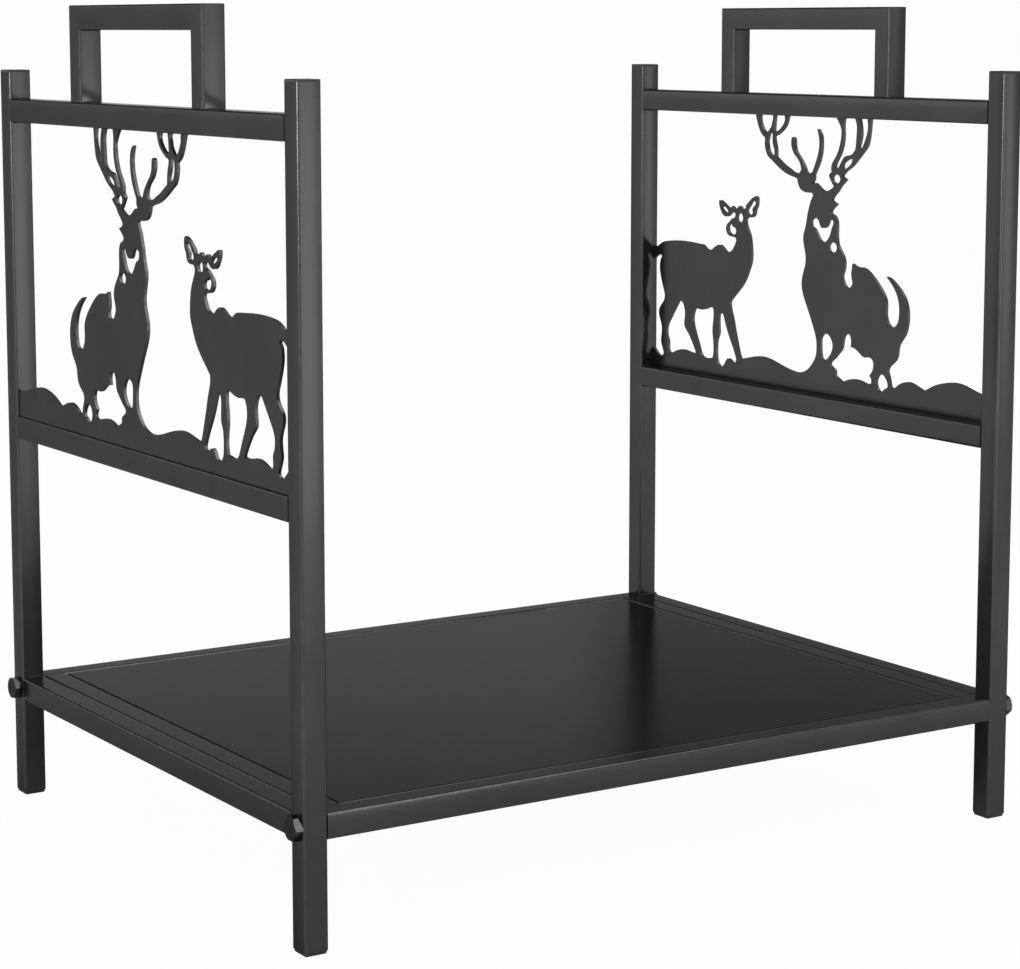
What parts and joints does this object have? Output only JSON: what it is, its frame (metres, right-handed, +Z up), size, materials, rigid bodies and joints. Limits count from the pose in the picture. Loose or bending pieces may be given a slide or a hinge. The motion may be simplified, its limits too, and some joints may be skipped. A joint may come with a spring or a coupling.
{
  "type": "firewood rack",
  "caption": "Indoor log rack of black square tube, with a sheet tray shelf, carrying handles and laser-cut stag and doe panels in its end frames.",
  "frame": {"origin": "on the floor, under the middle of the rack's bounding box", "axes": "+X from the left side frame to the right one, the way the shelf is long; +Y from the front to the back; +Z up"},
  "size_m": [0.525, 0.404, 0.5205],
  "materials": {
    "powder_coat_tube": "satin",
    "powder_coat_panel": "satin",
    "powder_coat_tray": "satin",
    "black_bolt": "satin",
    "plastic_plug": "matte",
    "zinc_insert": "satin"
  },
  "bodies": {
    "root": {"shelf_tray": "powder_coat_tray", "right_deer_panel": "powder_coat_panel", "left_deer_panel": "powder_coat_panel", "shelf_front_rail": "powder_coat_tube", "shelf_back_rail": "powder_coat_tube", "shelf_left_rail": "powder_coat_tube", "left_bottom_rail": "powder_coat_tube", "left_middle_rail": "powder_coat_tube", "left_top_rail": "powder_coat_tube", "left_handle_bar": "powder_coat_tube", "left_front_post": "powder_coat_tube", "left_handle_front_leg": "powder_coat_tube", "left_front_foot_plug": "plastic_plug", "left_front_top_plug": "plastic_plug", "left_front_bolt": "black_bolt", "left_front_threaded_insert": "zinc_insert", "left_back_post": "powder_coat_tube", "left_handle_back_leg": "powder_coat_tube", "left_back_foot_plug": "plastic_plug", "left_back_top_plug": "plastic_plug", "left_back_bolt": "black_bolt", "left_back_threaded_insert": "zinc_insert", "shelf_right_rail": "powder_coat_tube", "right_bottom_rail": "powder_coat_tube", "right_middle_rail": "powder_coat_tube", "right_top_rail": "powder_coat_tube", "right_handle_bar": "powder_coat_tube", "right_front_post": "powder_coat_tube", "right_handle_front_leg": "powder_coat_tube", "right_front_foot_plug": "plastic_plug", "right_front_top_plug": "plastic_plug", "right_front_bolt": "black_bolt", "right_front_threaded_insert": "zinc_insert", "right_back_post": "powder_coat_tube", "right_handle_back_leg": "powder_coat_tube", "right_back_foot_plug": "plastic_plug", "right_back_top_plug": "plastic_plug", "right_back_bolt": "black_bolt", "right_back_threaded_insert": "zinc_insert"}
  },
  "joints": []
}
